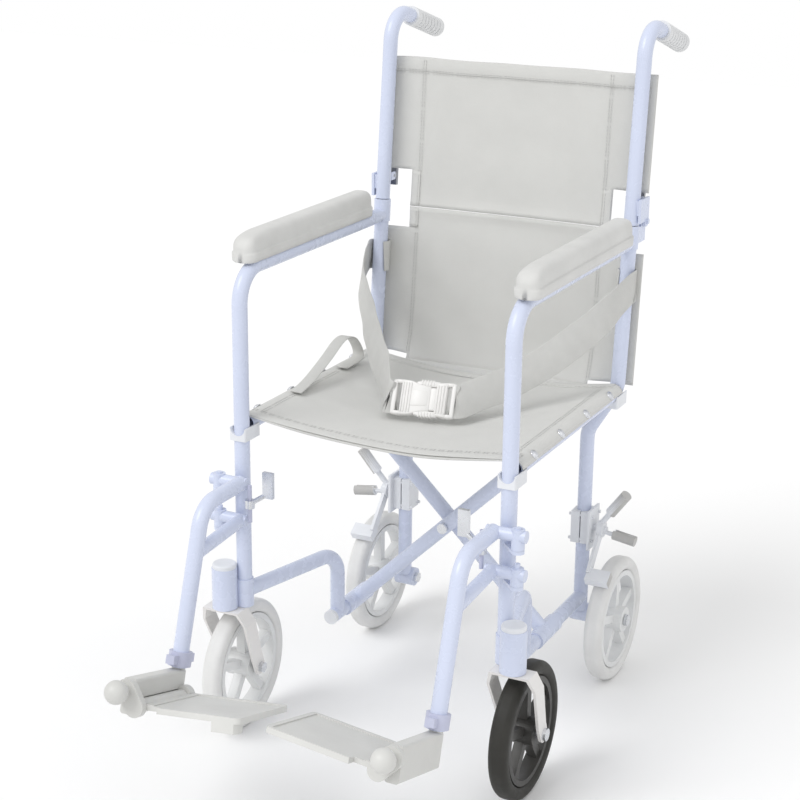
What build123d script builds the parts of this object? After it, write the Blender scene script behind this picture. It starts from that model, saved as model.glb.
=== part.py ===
from build123d import *
import os
from math import acos, atan2, cos, degrees, hypot, radians, sin, tan

# Transport wheelchair: folding X-braced frame, four small wheels, swing-away leg rests.
# Millimetres. +X is the sitter's left, +Y points backwards, +Z is up. The chair is built with
# y = 0 on the front uprights, then moved so that the origin is the middle of its floor rectangle.

# ---- driving dimensions ---------------------------------------------------------------------
# frame
tube_od = 22.2            # 7/8 in frame tube
tube_wall = 2.0
seat_width = 432.0        # 17 in, outside to outside of the side frames
seat_height = 481.0       # centre of the seat rails
arm_height = 704.0        # centre of the arm tubes
frame_depth = 425.0       # front upright to rear leg
leg_half_width = 155.0    # rear legs and lower rails stand inboard of the uprights
upright_bend = 48.0
lower_rail_height = 129.0
front_rail_height = 230.0
drop_y = 190.0            # where the front rail turns down to the lower rail
cane_lean = 5.6           # degrees that the back leans from vertical
back_hinge_height = 728.0
cane_top = 1020.0         # where the push handles' line leaves the canes
push_handle_reach = 152.0
push_handle_droop = 43.0
# wheels
wheel_dia = 197.0         # nominal 8 in
tyre_width = 28.0
tyre_depth = 21.0
hub_dia = 40.0
axle_dia = 10.0
spoke_count = 5
caster_trail = 47.0
housing_dia = 37.0
housing_height = 62.0
fork_clearance = 11.0     # tyre to housing
fork_flat = 4.0
fork_leg_width = 22.0
fork_half_gap = 26.0
fork_bow = 6.0
rear_wheel_half_track = 207.0
rear_axle_setback = 8.0   # behind the rear legs
# fold
fold_angle = 25.0
brace_y = 261.0           # plane between the two cross bars
pivot_bolt_dia = 8.0
# leg rests
hanger_half_width = 194.0
hanger_top = 405.0
hanger_corner_y = -124.0
hanger_foot_y = -193.0
hanger_foot_height = 194.0
hanger_bend = 42.0
brace_tube_height = 350.0
hinge_pin_dia = 8.0
footplate_width = 160.0
footplate_depth = 132.0
footplate_thickness = 8.0
footplate_half_gap = 17.5
footplate_pitch = 17.0    # degrees, toe up
footplate_roll = 6.0      # degrees, inner edge up
footplate_corner_y = -203.0
footplate_corner_height = 160.0
footplate_flip = 78.0
footrest_travel = 40.0
hanger_swing = 90.0
# upholstery and pads
arm_pad_length = 369.0
arm_pad_width = 39.0
arm_pad_height = 41.0
arm_pad_offset = 6.5      # outwards from the arm tube
sling_thickness = 4.0
seat_sag = 16.0
back_top = 948.0          # top edge of the back upholstery
back_bottom = 484.0
back_overhang = 18.0      # upholstery wider than the canes it hangs behind
notch_depth = 39.0        # notches that clear the back hinges
notch_bottom = 684.0
notch_top = 774.0
belt_width = 48.0
belt_height = 640.0       # where the belt goes round the canes
# fits
running = 0.05            # radial clearance of every turning fit
gap = 0.6                 # between parts that pass each other

# ---- values worked out from them ------------------------------------------------------------
tube_r = tube_od / 2
half = (seat_width - tube_od) / 2
wheel_r = wheel_dia / 2
stem_offset = (housing_dia / 2 + tube_r) / 2 ** 0.5
stem_x = half + stem_offset
stem_y = -stem_offset
frame_bottom = wheel_dia + fork_clearance
leg_y = frame_depth
cane_foot_height = seat_height + 4
cane_foot_y = leg_y - 15


def cane_y(z):
    return cane_foot_y + (z - cane_foot_height) * tan(radians(cane_lean))


rear_axle_y = leg_y + rear_axle_setback
brace_rise = (seat_height - lower_rail_height) / (half + leg_half_width)
brace_pivot_height = lower_rail_height + leg_half_width * brace_rise
hinge_x = half + 24.0
hinge_y = -24.0
flip_x = footplate_half_gap + footplate_width
foot_plane = Plane(
    origin=(flip_x, footplate_corner_y, footplate_corner_height),
    x_dir=(1, 0, 0),
    z_dir=(0, sin(radians(footplate_pitch)), cos(radians(footplate_pitch))),
)


# ---- shape helpers --------------------------------------------------------------------------
def path_of(points, bend):
    if len(points) == 2:
        return Polyline(*points)
    return FilletPolyline(*points, radius=bend)


def rod(points, diameter, bend=40.0):
    path = path_of(points, bend)
    section = Plane(origin=path @ 0, z_dir=path % 0) * Circle(diameter / 2)
    return sweep(section, path=path)


def tube(points, bend=40.0, diameter=tube_od, wall=tube_wall):
    path = path_of(points, bend)
    plane = Plane(origin=path @ 0, z_dir=path % 0)
    section = plane * (Circle(diameter / 2) - Circle(diameter / 2 - wall))
    return sweep(section, path=path)


def cylinder_along(axis, start, length, radius):
    direction = {"x": (1, 0, 0), "y": (0, 1, 0), "z": (0, 0, 1)}[axis]
    return extrude(Plane(origin=start, z_dir=direction) * Circle(radius), amount=length)


def box(x0, x1, y0, y1, z0, z1):
    return Pos((x0 + x1) / 2, (y0 + y1) / 2, (z0 + z1) / 2) * Box(x1 - x0, y1 - y0, z1 - z0)


def group(*shapes):
    """Several separate solids as one part; specks left by a cut are dropped."""
    return Compound([s for shape in shapes for s in shape.solids() if s.volume > 1])


def in_foot_plane(shape):
    return foot_plane.location * shape


# ---- side frame (left side; the right side is its mirror image) -------------------------------
upright_points = [(half, 0, frame_bottom), (half, 0, arm_height), (half, cane_y(arm_height), arm_height)]
post_points = [
    (leg_half_width, leg_y, wheel_r + 8),
    (leg_half_width, leg_y, 405),
    (half, cane_foot_y, cane_foot_height),
    (half, cane_y(back_hinge_height), back_hinge_height),
]
cope = 4.0                # tube ends stop this far short of the next tube's axis
front_rail_points = [
    (half, 0, front_rail_height),
    (leg_half_width, drop_y, front_rail_height),
    (leg_half_width, drop_y, lower_rail_height + cope),
]
lower_rail_points = [
    (leg_half_width, drop_y - tube_r - 6, lower_rail_height),
    (leg_half_width, leg_y - cope, lower_rail_height),
]


def front_upright():
    """One bent tube: the front upright and the arm rest tube."""
    return tube(upright_points, upright_bend) - rod(post_points, tube_od)


def rear_post():
    """One bent tube: the rear leg, its step outwards and the lower part of the back cane."""
    return tube(post_points)


def lower_rail():
    return tube(lower_rail_points) - rod(post_points, tube_od)


def front_rail():
    rail = tube(front_rail_points, 34) - rod(upright_points, sleeve_od, upright_bend)
    return rail - rod(lower_rail_points, tube_od)


sleeve_od = tube_od + 4.0
sleeve_top = frame_bottom + housing_height - 8


def caster_housing():
    """Sleeve on the foot of the upright, and the bearing barrel welded to it."""
    sleeve_length = front_rail_height + 20 - frame_bottom
    sleeve = cylinder_along("z", (half, 0, frame_bottom), sleeve_length, sleeve_od / 2)
    sleeve -= cylinder_along("z", (half, 0, 0), 400, tube_r)
    barrel = cylinder_along("z", (stem_x, stem_y, frame_bottom), housing_height, housing_dia / 2)
    barrel -= cylinder_along("z", (half, 0, 0), 400, tube_r)
    body = sleeve + barrel
    stem_bore = cylinder_along("z", (stem_x, stem_y, 0), frame_bottom + housing_height, 8 + running)
    return body - stem_bore


def saddle(y0, y1, carrier):
    """Black plastic block that carries the seat rail in a channel that is open at the top."""
    block = box(half - 13.5, half + 13.5, y0, y1, seat_height - 19, seat_height)
    block = fillet(block.edges().filter_by(Axis.Z), 3)
    channel = cylinder_along("y", (half, y0 - 1, seat_height), y1 - y0 + 2, tube_r + 0.4)
    return block - channel - carrier


def plastic_fittings():
    front = saddle(-tube_r - 1.5, 28, rod(upright_points, tube_od, upright_bend))
    rear = saddle(cane_foot_y - 36, cane_foot_y + 6, rod(post_points, tube_od))
    rail_front = drop_y - tube_r - 6
    rail_cap = cylinder_along("y", (leg_half_width, rail_front - 6.05, lower_rail_height), 6, tube_r)
    plug_r = tube_r - tube_wall - 0.1
    rail_cap += cylinder_along("y", (leg_half_width, rail_front - 1, lower_rail_height), 14, plug_r)
    housing_cap = cylinder_along("z", (stem_x, stem_y, frame_bottom + housing_height), 7, housing_dia / 2 - 1)
    housing_cap = fillet(housing_cap.edges().group_by(Axis.Z)[-1], 3)
    housing_cap -= cylinder_along("z", (half, 0, 0), 400, tube_r + gap)
    return group(front, rear, rail_cap, housing_cap)


arm_pad_front = 15.0


def arm_pad():
    """Moulded pad, round at both ends, seated on the arm tube."""
    bottom = arm_height + 7
    outline = RectangleRounded(arm_pad_width, arm_pad_length, arm_pad_width / 2 - 4)
    outline = Pos(half + arm_pad_offset, arm_pad_front + arm_pad_length / 2) * outline
    pad = Pos(0, 0, bottom) * extrude(outline, amount=arm_pad_height)
    pad = fillet(pad.edges().group_by(Axis.Z)[-1], 12)
    return pad - rod(upright_points, tube_od, upright_bend)


pin_bottoms = (brace_tube_height - 20, hanger_top - 24)
tab_thickness = 5.0


def hinge_tab(z):
    """Tab welded to the upright, with the upright pin that the leg rest turns on."""
    arm = box(0, hypot(hinge_x - half, hinge_y), -9, 9, z, z + tab_thickness)
    arm = Rot(0, 0, degrees(atan2(hinge_y, hinge_x - half))) * arm
    tab = Pos(half, 0, 0) * arm + cylinder_along("z", (hinge_x, hinge_y, z), tab_thickness, 9)
    tab -= cylinder_along("z", (half, 0, z - 1), tab_thickness + 2, tube_r)
    return tab + cylinder_along("z", (hinge_x, hinge_y, z), 36, hinge_pin_dia / 2)


hinge_sleeve_height = 34.0
back_pivot = (cane_y(back_hinge_height) + 23.0, back_hinge_height + 4.0)
back_plate = 4.0


def cane_direction(points):
    (_, y0, z0), (_, y1, z1) = points[-2:]
    length = hypot(y1 - y0, z1 - z0)
    return (0, (y1 - y0) / length, (z1 - z0) / length)


def frame_brackets():
    """Hinge tabs and pins, the collar and plate of the back hinge, and the axle block."""
    direction = Vector(*cane_direction(post_points))
    top = Vector(*post_points[-1])
    collar_axis = Plane(origin=top - direction * hinge_sleeve_height, z_dir=direction)
    collar = extrude(collar_axis * Circle(sleeve_od / 2), amount=hinge_sleeve_height)
    plate = box(half + 8, half + 8 + back_plate, top.Y - 4, back_pivot[0] + 8, back_hinge_height - 26,
                back_hinge_height - 2)
    plate += box(half + 8, half + 8 + back_plate, top.Y + tube_r + 1.5, back_pivot[0] + 8,
                 back_hinge_height - 4, back_pivot[1] + 8)
    collar = collar + plate
    collar -= rod(post_points, tube_od)
    collar -= cylinder_along("x", (half, *back_pivot), 40, 4 + running)
    collar -= rod(upright_points, tube_od, upright_bend)
    block = cylinder_along("x", (leg_half_width - 16, rear_axle_y, wheel_r), 32, 15)
    block -= cylinder_along("x", (0, rear_axle_y, wheel_r), 300, axle_dia / 2)
    block -= rod(post_points, tube_od)
    return group(hinge_tab(pin_bottoms[0]), hinge_tab(pin_bottoms[1]), collar, block)


# ---- cross brace and seat rails ---------------------------------------------------------------
bar_offset = tube_r + 0.8
sleeve_length = 76.0


def bar_points(y):
    return [(-leg_half_width, y, lower_rail_height), (half, y, seat_height)]


rail_front_y = tube_r + 5.0
rail_back_y = cane_foot_y - tube_r - 5.0


def rail_points():
    return [(half, rail_front_y, seat_height), (half, rail_back_y, seat_height)]


def cross_bar(y, bolt_r):
    """Bar that leans to the left: foot on the right lower rail, top on the left seat rail."""
    bar = tube(bar_points(y))
    foot = cylinder_along("y", (-leg_half_width, y - sleeve_length / 2, lower_rail_height), sleeve_length,
                          tube_r + running + 2.5)
    bar = bar + foot
    bar -= cylinder_along("y", (-leg_half_width, y - 100, lower_rail_height), 200, tube_r + running)
    bar -= cylinder_along("y", (0, y - 50, brace_pivot_height), 100, bolt_r)
    return bar - rod(rail_points(), tube_od)


def cross_bolt():
    """Pivot bolt with a round head in front and a nut behind."""
    front = brace_y - 2 * bar_offset
    shank = cylinder_along("y", (0, front, brace_pivot_height), 4 * bar_offset, pivot_bolt_dia / 2)
    head = cylinder_along("y", (0, front - 5, brace_pivot_height), 5, 8)
    nut = extrude(Plane(origin=(0, front + 4 * bar_offset, brace_pivot_height), z_dir=(0, 1, 0))
                  * RegularPolygon(7.5, 6), amount=7)
    return shank + head + nut


def seat_rail():
    return tube(rail_points())


# ---- back -------------------------------------------------------------------------------------
cane_points = [
    (half, cane_y(back_hinge_height + 1.0), back_hinge_height + 1.0),
    (half, cane_y(cane_top), cane_top),
    (half, cane_y(cane_top) + push_handle_reach, cane_top - push_handle_droop),
]
cane_bend = 42.0
grip_length = 92.0


def upper_cane():
    """Upper back cane with its push handle, and the ear that turns on the back hinge."""
    ear = box(half + 8 + back_plate + gap, half + 8 + 2 * back_plate + gap, cane_y(back_hinge_height) - 6,
              back_pivot[0] + 8, back_hinge_height + 5, back_hinge_height + 40)
    boss = cylinder_along("x", (half + 8 + back_plate + gap, *back_pivot), back_plate, 8)
    spacer = box(half + 6, half + 8 + back_plate + gap, cane_y(back_hinge_height) - 4,
                 cane_y(back_hinge_height) + 10, back_hinge_height + 16, back_hinge_height + 38)
    pin = cylinder_along("x", (half + 6, *back_pivot), 5 + 2 * back_plate + gap, 4)
    fitting = ear + boss + spacer + pin
    fitting += lever_cheeks()
    return tube(cane_points, cane_bend) + (fitting - rod(cane_points, tube_od - 2, cane_bend))


def grip():
    """Ribbed rubber grip over the end of the push handle."""
    path = path_of(cane_points, cane_bend)
    end = Vector(*cane_points[-1])
    back = (Vector(*cane_points[-2]) - end).normalized()
    start = end + back * grip_length
    axis = Plane(origin=start, z_dir=-back)
    body = extrude(axis * Circle(15), amount=grip_length + 5)
    for i in range(7):
        ring = extrude(axis.offset(14 + 11 * i) * (Circle(18) - Circle(14)), amount=3)
        body -= ring
    body = body - extrude(axis * Circle(tube_r), amount=grip_length)
    return body


lever_pivot = (cane_y(back_hinge_height + 34) + tube_r + 6.5, back_hinge_height + 34)


def lever_cheeks():
    """Two small ears on the cane that hold the release lever."""
    y, z = lever_pivot
    cheeks = None
    for x0 in (half - 9.5, half + 6.5):
        cheek = box(x0, x0 + 3, y - 10, y + 4, z - 6, z + 6)
        cheeks = cheek if cheeks is None else cheeks + cheek
    return cheeks - cylinder_along("x", (half - 20, y, z), 40, 2.5 + running)


def release_lever():
    """Lever behind the cane that frees the folding back."""
    y, z = lever_pivot
    body = box(half - 5.5, half + 5.5, y, y + 22, z - 4, z + 4)
    body += box(half - 5.5, half + 5.5, y + 15, y + 22, z - 16, z + 34)
    body = Pos(0, y, z) * Rot(-cane_lean, 0, 0) * Pos(0, -y, -z) * body
    body += cylinder_along("x", (half - 5.5, y, z), 11, 4.5)
    return body + cylinder_along("x", (half - 9.5, y, z), 19, 2.5)


# ---- wheels -----------------------------------------------------------------------------------
def tyre(x, y):
    section = RectangleRounded(tyre_width, tyre_depth, tyre_depth / 2.3)
    ring = revolve(Plane.XZ * (Pos(0, wheel_r - tyre_depth / 2) * section), Axis.X)
    return Pos(x, y, wheel_r) * ring


def spoked_wheel(x, y, bore):
    """Moulded rim, spokes and hub in one piece."""
    rim_outer = wheel_r - tyre_depth
    rim = cylinder_along("x", (-11, 0, 0), 22, rim_outer)
    rim -= cylinder_along("x", (-12, 0, 0), 24, rim_outer - 8)
    hub = cylinder_along("x", (-20, 0, 0), 40, hub_dia / 2)
    wheel = rim + hub
    for i in range(spoke_count):
        spoke = box(-7, 7, -6.5, 6.5, hub_dia / 2 - 4, rim_outer - 4)
        wheel += Rot(360 / spoke_count * i, 0, 0) * spoke
    wheel -= cylinder_along("x", (-30, 0, 0), 60, bore)
    return Pos(x, y, wheel_r) * wheel


wheel_y = stem_y + caster_trail


def fork_front_view(inset):
    """Closed outline of the bowed bar seen from the front, or of the space inside it."""
    top = frame_bottom - gap - inset
    foot = wheel_r - 20 - inset
    knee = wheel_r + 16
    low = fork_half_gap + fork_flat - inset
    wide = low + fork_bow
    shoulder = top - 24 + inset
    half_outline = [(low, foot), (low, knee), (wide, shoulder), (low - 1, top)]
    points = half_outline + [(-x, z) for x, z in reversed(half_outline)]
    return Polygon(*points, align=None)


def caster_fork():
    """Stem and one bowed flat bar: the crown and the two legs that lean back to the axle."""
    z_top = frame_bottom - gap
    bow = fork_front_view(0) - fork_front_view(fork_flat)
    bow = extrude(Plane.XZ * bow, amount=80, both=True)
    eye = Pos(caster_trail, wheel_r) * Circle(12)
    crown_line = Line((-15, z_top), (15, z_top))
    side_view = Plane.YZ * make_hull([*eye.edges(), crown_line])
    fork = bow & extrude(side_view, amount=60, both=True)
    fork += cylinder_along("z", (0, 0, z_top - 2), housing_height - 2, 8)
    fork -= cylinder_along("x", (-100, caster_trail, wheel_r), 200, axle_dia / 2)
    return Pos(stem_x, stem_y, 0) * fork


def axle(y, from_x, to_x):
    """Axle bolt along X with a head at one end and a nut at the other."""
    shank = cylinder_along("x", (from_x, y, wheel_r), to_x - from_x, axle_dia / 2)
    head = cylinder_along("x", (to_x, y, wheel_r), 5, 9)
    nut = extrude(Plane(origin=(from_x, y, wheel_r), z_dir=(-1, 0, 0)) * RegularPolygon(8.5, 6), amount=6)
    return shank + head + nut


# ---- wheel lock -------------------------------------------------------------------------------
brake_height = 250.0
brake_pivot = (leg_y - 6.0, brake_height)
shoe_angle = 55.0
shoe_gap = 5.0
brake_arm_x = leg_half_width + 34.0


def brake_bracket():
    """Two clamp plates on the rear leg, held by four bolts, and the pivot bolt."""
    leg = rod(post_points, tube_od)
    x, z = leg_half_width, brake_height
    inner = box(x - 15, x - 1, leg_y - 17, leg_y + 17, z - 26, z + 26)
    outer = box(x + 1, x + 15, leg_y - 17, leg_y + 17, z - 26, z + 26)
    plate = box(x + 15, x + 19, leg_y - 26, leg_y + 17, z - 32, z + 32)
    bolts = []
    for dy in (-14, 14):
        for dz in (-20, 20):
            bolts.append(cylinder_along("x", (leg_half_width - 19, leg_y + dy, brake_height + dz), 41, 2.5))
    pivot = cylinder_along("x", (leg_half_width + 19, *brake_pivot), 22, 5)
    clamp = (inner - leg) + (outer - leg) + plate
    for bolt in bolts:
        clamp += bolt
    return clamp + pivot


def brake_lever():
    """Rocking arm with the hand grip, the foot grip and the shoe that presses on the tyre."""
    py, pz = brake_pivot
    reach = wheel_r + shoe_gap
    shoe_y = rear_axle_y - reach * cos(radians(shoe_angle))
    shoe_z = wheel_r + reach * sin(radians(shoe_angle))
    arm = Plane(origin=(brake_arm_x, py, pz), z_dir=(1, 0, 0))
    lever = cylinder_along("x", (brake_arm_x - 7, py, pz), 9, 13)
    angle = degrees(atan2(shoe_z + 10 - pz, shoe_y - 4 - py))
    length = hypot(shoe_z + 10 - pz, shoe_y - 4 - py)
    strip = Pos(0, py, pz) * Rot(angle, 0, 0) * box(brake_arm_x - 5, brake_arm_x, 0, length, -8, 8)
    lever += strip
    shoe = box(brake_arm_x - 5, rear_wheel_half_track + tyre_width / 2, -11, 11, 0, 14)
    shoe = Pos(0, shoe_y, shoe_z) * Rot(90 - shoe_angle, 0, 0) * shoe
    lever += shoe
    for reach_x, reach_y, reach_z, start_z in ((41, -9, 56, 10), (56, -2, -8, -2)):
        start = (brake_arm_x - 2, py, pz + start_z)
        end = (start[0] + reach_x, py + reach_y, start[2] + reach_z)
        middle = tuple(a + (b - a) * 0.36 for a, b in zip(start, end))
        lever += rod([start, end], 9)
        lever += rod([middle, end], 17)
    lever -= cylinder_along("x", (0, py, pz), 400, 5 + running)
    return lever


# ---- leg rest ---------------------------------------------------------------------------------
hanger_points = [
    (hanger_half_width, hinge_y, hanger_top),
    (hanger_half_width, hanger_corner_y, hanger_top),
    (hanger_half_width, hanger_foot_y, hanger_foot_height),
]


def hanger_line_y(z):
    t = (hanger_top - z) / (hanger_top - hanger_foot_height)
    return hanger_corner_y + (hanger_foot_y - hanger_corner_y) * t


lug_dia = 17.0


def hanger():
    """Bent hanger tube, its brace and the two lugs that turn on the upright's pins."""
    bent = tube(hanger_points, hanger_bend)
    brace_points = [
        (hanger_half_width, hinge_y, brace_tube_height),
        (hanger_half_width, hanger_line_y(brace_tube_height - 8), brace_tube_height - 8),
    ]
    brace = tube(brace_points, diameter=19) - rod(hanger_points, tube_od, hanger_bend)
    body = bent + brace
    for z, bottom in ((hanger_top, pin_bottoms[1]), (brace_tube_height, pin_bottoms[0])):
        lug = rod([(hanger_half_width - 10, hinge_y, z), (hinge_x + 12, hinge_y, z)], lug_dia)
        seat_z = bottom + tab_thickness + 0.3
        lug += cylinder_along("z", (hinge_x, hinge_y, seat_z), z + lug_dia / 2 - seat_z + 1, 9)
        body += lug
    bores = cylinder_along("z", (hinge_x, hinge_y, 250), 250, hinge_pin_dia / 2 + running)
    return body - bores


latch_z = (brace_tube_height + hanger_top) / 2
latch_pivot = (hanger_half_width - 16.0, hinge_y - 2.0)


def hanger_latch():
    """Lever that holds the leg rest to the upright; its handle points inwards and up."""
    x, y = latch_pivot
    hub = cylinder_along("z", (x, y, latch_z - 6), 12, 7)
    hook = box(x - 2, half - tube_r - gap, y - 4 + 8, y + 12, latch_z - 4, latch_z + 4)
    handle = rod([(x, y, latch_z), (x - 24, y + 4, latch_z + 16)], 7)
    paddle = box(x - 36, x - 20, y + 1, y + 7, latch_z + 12, latch_z + 50)
    body = hub + handle + paddle
    return body - cylinder_along("z", (x, y, 0), 600, 3 + running)


def latch_pin():
    x, y = latch_pivot
    pin = cylinder_along("z", (x, y, brace_tube_height), hanger_top - brace_tube_height, 3)
    return pin


post_dia = tube_od - 2 * tube_wall - 2 * running
post_axis = (Vector(*hanger_points[1]) - Vector(*hanger_points[2])).normalized()


def hanger_clamp():
    """Clamp collar with its bolt at the foot of the hanger tube, and the latch pin."""
    foot = Vector(*hanger_points[2])
    plane = Plane(origin=foot + post_axis * 2, z_dir=post_axis)
    collar = extrude(plane * Circle(tube_r + 5), amount=20)
    collar += extrude(plane.offset(4) * Pos(0, 0) * Rectangle(52, 13), amount=12)
    collar -= rod(hanger_points, tube_od, hanger_bend)
    return group(collar, latch_pin() - hanger())


knuckle_r = 14.0
rear_knuckle = 12.0
front_knuckle = 14.0
barrel_r = 9.0
barrel_front = -footplate_depth + front_knuckle + gap
barrel_back = 2 - rear_knuckle - gap
block_inner = hanger_half_width - flip_x - 10.0
block_outer = hanger_half_width - flip_x + 9.5


def footrest_block():
    """Sliding post, the moulded hinge block that hangs from it, the hinge pin and the ball knob."""
    foot = Vector(*hanger_points[2])
    post = extrude(Plane(origin=foot - post_axis * 30, z_dir=post_axis) * Circle(post_dia / 2), amount=150)
    front = -footplate_depth + front_knuckle
    knob_x = block_inner + 9
    block = box(block_inner, block_outer, front, 3, -14, 34)
    block = fillet(block.edges().filter_by(Axis.Y), 4)
    block -= cylinder_along("y", (0, barrel_front - gap, 0), barrel_back - barrel_front + 2 * gap, barrel_r + 1.8)
    cap = make_hull([*Circle(knuckle_r).edges(), *(Pos(knob_x, 19) * Circle(15)).edges()])
    cap = Plane(origin=(0, front, 0), x_dir=(1, 0, 0), z_dir=(0, -1, 0)) * cap
    block += extrude(cap, amount=front_knuckle - 4)
    block += cylinder_along("y", (0, 2 - rear_knuckle, 0), rear_knuckle, knuckle_r)
    block += cylinder_along("y", (0, -footplate_depth + 5, 0), footplate_depth - 5, 4)
    stem = cylinder_along("y", (knob_x, -footplate_depth - 8, 19), 20, 7)
    ball = Pos(knob_x, -footplate_depth - 17, 19) * Sphere(16)
    return post + in_foot_plane(block + stem + ball)


def footplate(with_lug=False):
    """Flat plate with a raised rim and a hinge barrel; a lug may hang under its front inner corner."""
    y0, y1 = -footplate_depth, 0
    plate = box(-footplate_width, 0, y0, y1, -4, footplate_thickness - 4)
    plate = fillet(plate.edges().filter_by(Axis.Z).group_by(Axis.X)[0], 8)
    recess = box(-footplate_width + 7, -24, y0 + 7, y1 - 7, footplate_thickness - 5.5, 20)
    plate = plate - recess
    if with_lug:
        lug = cylinder_along("z", (-footplate_width + 24, y0 + 12, -17), 15, 20)
        plate += lug & box(-footplate_width + 2, 0, y0, y0 + 24, -30, 0)
    plate = Rot(0, footplate_roll, 0) * plate
    plate -= box(-38, 60, y0 - 10, barrel_front, -60, 60)
    plate += cylinder_along("y", (0, barrel_front, 0), barrel_back - barrel_front, barrel_r)
    plate -= box(block_inner - gap, 60, -200, 60, -60, 60)
    plate -= cylinder_along("y", (0, barrel_back, 0), 40, knuckle_r + gap)
    return in_foot_plane(plate - cylinder_along("y", (0, -300, 0), 600, 4 + running))


# ---- upholstery and belt ------------------------------------------------------------------------
def seat_sling():
    """Sagging seat between the two rails."""
    edge = half
    top = seat_height + tube_r + sling_thickness + 0.3
    y0, y1 = rail_front_y - 4, rail_back_y + 2
    outer = ThreePointArc((-edge, top), (0, top - seat_sag), (edge, top))
    inner = ThreePointArc((edge, top - sling_thickness), (0, top - seat_sag - sling_thickness),
                          (-edge, top - sling_thickness))
    right_end = Line((-edge, top - sling_thickness), (-edge, top))
    left_end = Line((edge, top), (edge, top - sling_thickness))
    outline = make_face(outer + inner + right_end + left_end)
    face = Plane(origin=(0, y1, 0), x_dir=(1, 0, 0), z_dir=(0, -1, 0)) * outline
    return extrude(face, amount=y1 - y0)


def back_panel(z0, z1, edge):
    """Flat leaning panel just behind the canes."""
    offset = tube_r + 3
    points = [(cane_y(z0) + offset, z0), (cane_y(z1) + offset, z1),
              (cane_y(z1) + offset + sling_thickness, z1), (cane_y(z0) + offset + sling_thickness, z0)]
    outline = Plane.YZ * make_face(Polyline(*points, close=True))
    return Pos(-edge, 0, 0) * extrude(outline, amount=2 * edge)


buckle_length = 92.0
buckle_width = 52.0
buckle_turn = 12.0         # seen from above
buckle_tilt = 58.0         # stands on its lower edge, leaning back
buckle_centre = (4.0, 155.0, seat_height + tube_r - seat_sag + 32.0)


def buckle_end(side):
    """Point on the buckle's long axis at the end towards +X (side 1) or -X (side -1)."""
    x, y, z = buckle_centre
    r = side * (buckle_length / 2 + 0.05)
    return Vector(x + r * cos(radians(buckle_turn)), y + r * sin(radians(buckle_turn)), z)


def strap(start, end, width, across):
    """Straight run of flat webbing; across is roughly the direction of its width."""
    run = end - start
    unit = run.normalized()
    across = across - unit * across.dot(unit)
    plane = Plane(origin=start, x_dir=across.normalized(), z_dir=run)
    return extrude(plane * Rectangle(width, 2.5), amount=run.length)


def seat_belt():
    """Two webbing straps from the canes to the buckle, and the short loop on the seat edge."""
    tilt = Vector(0, cos(radians(buckle_tilt)), sin(radians(buckle_tilt)))
    straps = []
    for side in (-1, 1):
        cane = Vector(side * (half + 6), cane_y(belt_height) - tube_r - 4, belt_height)
        straps.append(strap(cane, buckle_end(side), belt_width, tilt) - buckle())
    x = -half + 14
    front, crest, back = (x, 130, seat_height + 15.8), (x, 286, seat_height + 60), (x, 325, seat_height + 24)
    sideways = Vector(1, 0, 0)
    loop = strap(Vector(*front), Vector(*crest), 12, sideways)
    loop += strap(Vector(*crest), Vector(*back), 12, sideways)
    return group(*straps, loop)


def buckle():
    """Side-release buckle at the lap."""
    body = fillet(Box(buckle_length, buckle_width, 13).edges().filter_by(Axis.X), 3)
    return Pos(*buckle_centre) * Rot(0, 0, buckle_turn) * Rot(buckle_tilt, 0, 0) * body


# ---- assembly -----------------------------------------------------------------------------------
def side_parts():
    """Every part of the left side, by its name without the side."""
    half_fork = fork_half_gap + fork_flat
    return {
        "front_upright": front_upright(),
        "rear_post": rear_post(),
        "front_rail": front_rail(),
        "lower_rail": lower_rail(),
        "caster_housing": caster_housing(),
        "plastic_fittings": plastic_fittings(),
        "arm_pad": arm_pad(),
        "frame_brackets": frame_brackets(),
        "seat_rail": seat_rail(),
        "upper_cane": upper_cane(),
        "grip": grip(),
        "release_lever": release_lever(),
        "caster_fork": caster_fork(),
        "caster_wheel": spoked_wheel(stem_x, wheel_y, axle_dia / 2 + running),
        "caster_tyre": tyre(stem_x, wheel_y),
        "caster_axle": axle(wheel_y, stem_x - half_fork, stem_x + half_fork),
        "rear_wheel": spoked_wheel(rear_wheel_half_track, rear_axle_y, axle_dia / 2 + running),
        "rear_tyre": tyre(rear_wheel_half_track, rear_axle_y),
        "rear_axle": axle(rear_axle_y, leg_half_width - 16, rear_wheel_half_track + 21),
        "brake_bracket": brake_bracket(),
        "brake_lever": brake_lever(),
        "hanger": hanger(),
        "hanger_latch": hanger_latch(),
        "hanger_clamp": hanger_clamp(),
        "footrest_block": footrest_block(),
        "footplate": footplate(),
    }


def centre_parts():
    bar_a = cross_bar(brace_y - bar_offset, pivot_bolt_dia / 2)
    bar_b = mirror(cross_bar(brace_y + bar_offset, pivot_bolt_dia / 2 + running), about=Plane.YZ)
    wide = half + back_overhang
    narrow = half - notch_depth
    split = back_hinge_height - 12
    lower_wide = back_panel(back_bottom, notch_bottom, wide)
    lower_narrow = back_panel(notch_bottom - 1, split, narrow)
    upper_narrow = back_panel(split + 2, notch_top + 1, narrow)
    upper_wide = back_panel(notch_top, back_top, wide)
    return {
        "cross_bar_a": bar_a,
        "cross_bar_b": bar_b,
        "cross_bolt": cross_bolt(),
        "seat_sling": seat_sling(),
        "back_sling_lower": lower_wide + lower_narrow,
        "back_sling_upper": upper_wide + upper_narrow,
        "seat_belt": seat_belt(),
        "buckle": buckle(),
    }


def assembly():
    parts = centre_parts()
    for name, shape in side_parts().items():
        parts[f"{name}_left"] = shape
        parts[f"{name}_right"] = mirror(shape, about=Plane.YZ)
    parts["footplate_right"] = mirror(footplate(with_lug=True), about=Plane.YZ)
    return parts


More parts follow.
